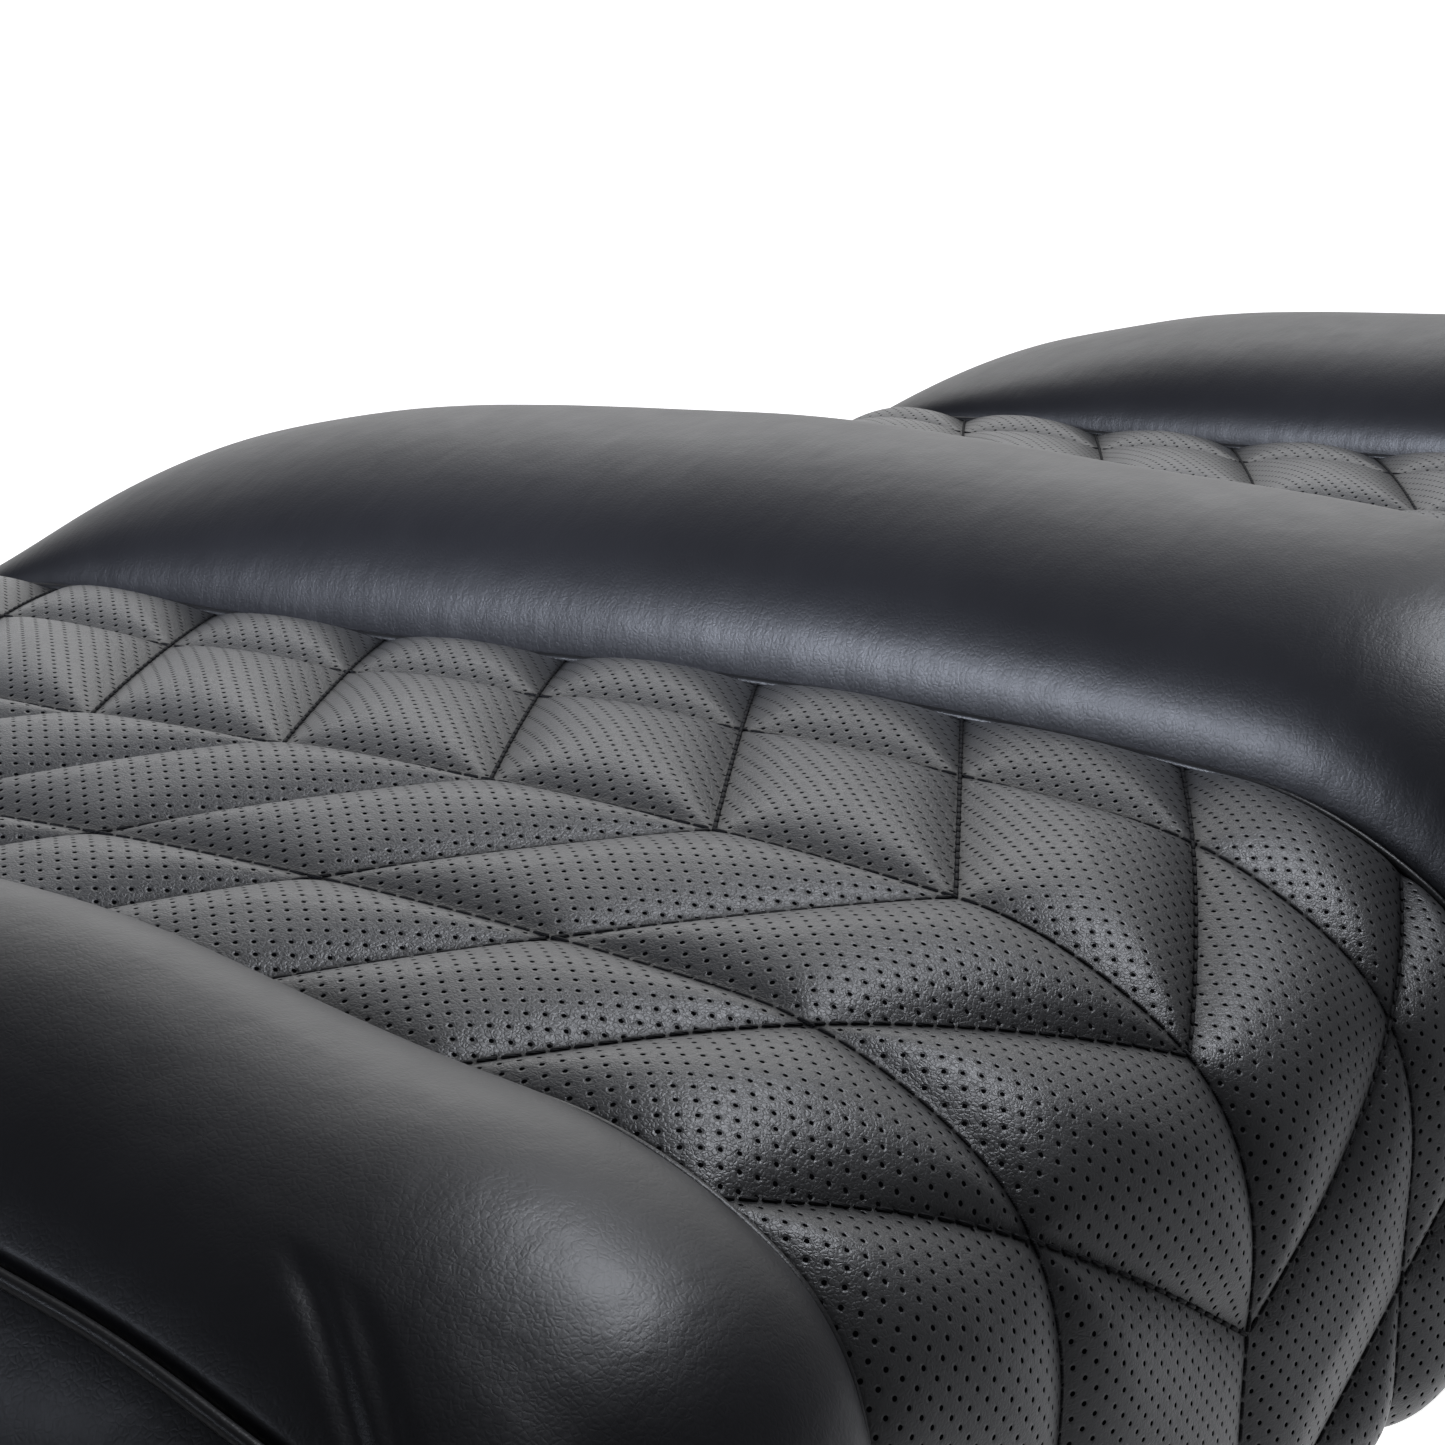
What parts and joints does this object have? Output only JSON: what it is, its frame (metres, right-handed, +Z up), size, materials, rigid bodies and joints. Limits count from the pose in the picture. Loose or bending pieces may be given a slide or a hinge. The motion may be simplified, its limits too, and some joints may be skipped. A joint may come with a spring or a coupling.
{
  "type": "motorcycle seat",
  "caption": "Two-place side-by-side motorcycle seat: quilted perforated inserts between smooth bolsters, on a tube frame with flip-forward cushions.",
  "frame": {"origin": "on the floor, centred under the bounding box of the whole seat pair", "axes": "+Z up, front of both cushions towards -Y, driver cushion on the -X side, passenger cushion on the +X side"},
  "size_m": [0.9826, 0.5438, 0.2472],
  "materials": {
    "quilt": "perforated matte leather, quilted",
    "leather": "smooth satin leather",
    "boxing": "satin grained vinyl",
    "welt": "satin",
    "foam": "moulded open-cell foam",
    "pan": "moulded",
    "tube": "satin black powder coat",
    "zinc": "zinc plated",
    "steel": "bright",
    "rubber": "matte"
  },
  "bodies": {
    "frame": {"front_cross_tube": "tube", "rear_cross_tube": "tube", "mounting_foot_front_left": "tube", "mounting_foot_front_right": "tube", "mounting_foot_rear_left": "tube", "mounting_foot_rear_right": "tube", "driver_rail_left": "tube", "driver_riser_front_left": "tube", "driver_riser_rear_left": "tube", "driver_hinge_ear_left": "tube", "driver_bump_stop_left": "rubber", "driver_rail_right": "tube", "driver_riser_front_right": "tube", "driver_riser_rear_right": "tube", "driver_hinge_ear_right": "tube", "driver_bump_stop_right": "rubber", "driver_hinge_rod": "zinc", "driver_striker": "zinc", "passenger_rail_left": "tube", "passenger_hinge_ear_left": "tube", "passenger_bump_stop_left": "rubber", "passenger_rail_right": "tube", "passenger_hinge_ear_right": "tube", "passenger_bump_stop_right": "rubber", "passenger_hinge_rod": "zinc", "passenger_striker": "zinc"},
    "driver_cushion": {"driver_seat_pan": "pan", "driver_foam_core": "foam", "driver_insert_pad": "quilt", "driver_bolster_left": "leather", "driver_bolster_right": "leather", "driver_boxing_left": "boxing", "driver_boxing_right": "boxing", "driver_boxing_rear": "boxing", "driver_welt_left": "welt", "driver_welt_right": "welt", "driver_hinge_leaf_left": "zinc", "driver_hinge_leaf_right": "zinc", "driver_latch_housing": "zinc", "driver_latch_pin": "steel", "driver_latch_spring": "steel"},
    "driver_latch": {"driver_latch_lever": "steel"},
    "passenger_cushion": {"passenger_seat_pan": "pan", "passenger_foam_core": "foam", "passenger_insert_pad": "quilt", "passenger_bolster_left": "leather", "passenger_bolster_right": "leather", "passenger_boxing_left": "boxing", "passenger_boxing_right": "boxing", "passenger_boxing_rear": "boxing", "passenger_welt_left": "welt", "passenger_welt_right": "welt", "passenger_hinge_leaf_left": "zinc", "passenger_hinge_leaf_right": "zinc", "passenger_latch_housing": "zinc", "passenger_latch_pin": "steel", "passenger_latch_spring": "steel"},
    "passenger_latch": {"passenger_latch_lever": "steel"}
  },
  "joints": [
    {"name": "driver_cushion_flip", "type": "hinge", "parent": "frame", "child": "driver_cushion", "pos_m": [-0.25, -0.20842, 0.0779], "axis": [1, 0, 0], "range_deg": [0, 75]},
    {"name": "driver_latch_lift", "type": "hinge", "parent": "driver_cushion", "child": "driver_latch", "pos_m": [-0.25, 0.15485, 0.0739], "axis": [1, 0, 0], "range_deg": [0, 10], "stiffness_Nm_per_rad": 0.1, "springref_deg": -17.19},
    {"name": "passenger_cushion_flip", "type": "hinge", "parent": "frame", "child": "passenger_cushion", "pos_m": [0.25, -0.19342, 0.0569], "axis": [1, 0, 0], "range_deg": [0, 75]},
    {"name": "passenger_latch_lift", "type": "hinge", "parent": "passenger_cushion", "child": "passenger_latch", "pos_m": [0.25, 0.16985, 0.0529], "axis": [1, 0, 0], "range_deg": [0, 10], "stiffness_Nm_per_rad": 0.1, "springref_deg": -17.19}
  ]
}
